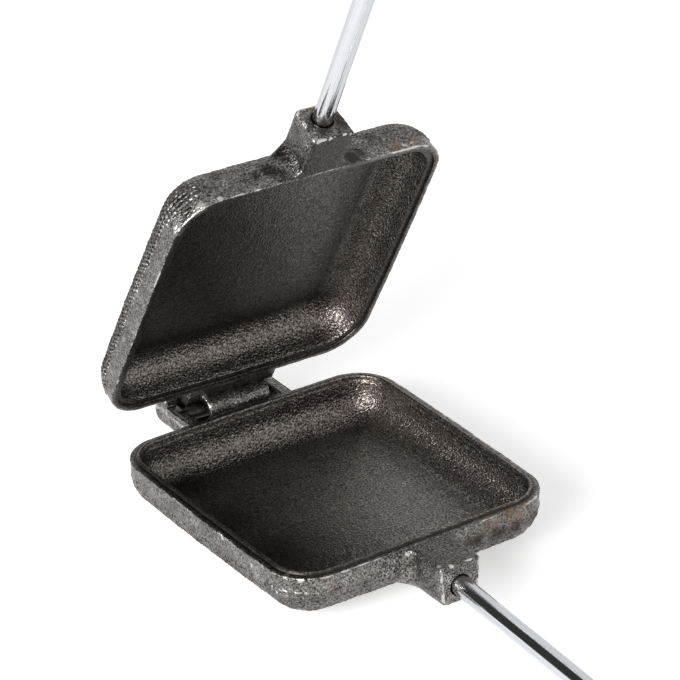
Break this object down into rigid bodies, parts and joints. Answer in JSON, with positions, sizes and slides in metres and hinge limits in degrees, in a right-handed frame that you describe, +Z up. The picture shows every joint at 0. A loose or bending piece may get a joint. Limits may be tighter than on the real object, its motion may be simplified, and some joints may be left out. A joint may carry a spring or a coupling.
{
  "type": "pie iron",
  "caption": "Square cast iron cooker of hinged halves on long rods with wooden grips, for toasting filled bread over a fire or hob.",
  "frame": {"origin": "on the table, under the middle of the object's bounding box", "axes": "+Z up; +Y from the lower grip's end towards the hinge; +X to the right as seen from the lower grip"},
  "size_m": [0.1266, 0.7264, 0.6837],
  "materials": {
    "iron": "sand-cast, seasoned black-brown",
    "rod": "bright plated steel rod",
    "pin": "plain steel wire",
    "grip": "turned hardwood, clear lacquer"
  },
  "bodies": {
    "lower": {"lower_iron": "iron", "hinge_pin": "pin", "lower_rod": "rod", "lower_grip": "grip", "lower_grip_pin": "pin"},
    "lid": {"upper_iron": "iron", "upper_rod": "rod", "upper_grip": "grip", "upper_grip_pin": "pin"}
  },
  "joints": [
    {"name": "lid_hinge", "type": "hinge", "parent": "lower", "child": "lid", "pos_m": [-0.00235, 0.34703, 0.01652], "axis": [-0.9991, 0.0295, 0.03], "range_deg": [-62.9, 27]}
  ]
}
